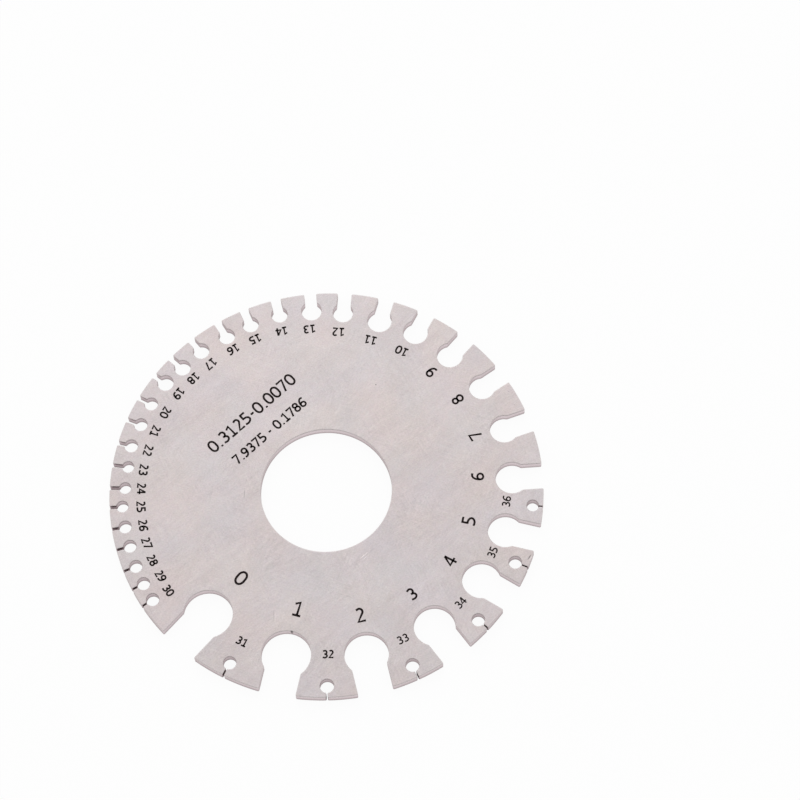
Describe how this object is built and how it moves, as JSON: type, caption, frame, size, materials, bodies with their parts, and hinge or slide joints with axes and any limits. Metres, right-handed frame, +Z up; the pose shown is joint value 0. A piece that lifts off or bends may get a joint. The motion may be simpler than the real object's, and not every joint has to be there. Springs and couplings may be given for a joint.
{
  "type": "wire gauge",
  "caption": "Flat round steel gauge for sheet and wire, with numbered keyhole notches of falling width round its rim and a large hole in the middle.",
  "frame": {"origin": "on the centre hole's axis, at the underside of the plate", "axes": "+Z up, square to the plate and out of its numbered face; seen from above, +X comes out between the notches numbered 36 and 6, and +Y between 12 and 13"},
  "size_m": [0.084, 0.084, 0.002],
  "materials": {
    "satin_steel": "satin, very finely brushed in all directions",
    "dark_marking": "matte dark brown-black numbers marked on the top face"
  },
  "bodies": {
    "root": {"gauge_plate": "satin_steel"}
  },
  "joints": []
}
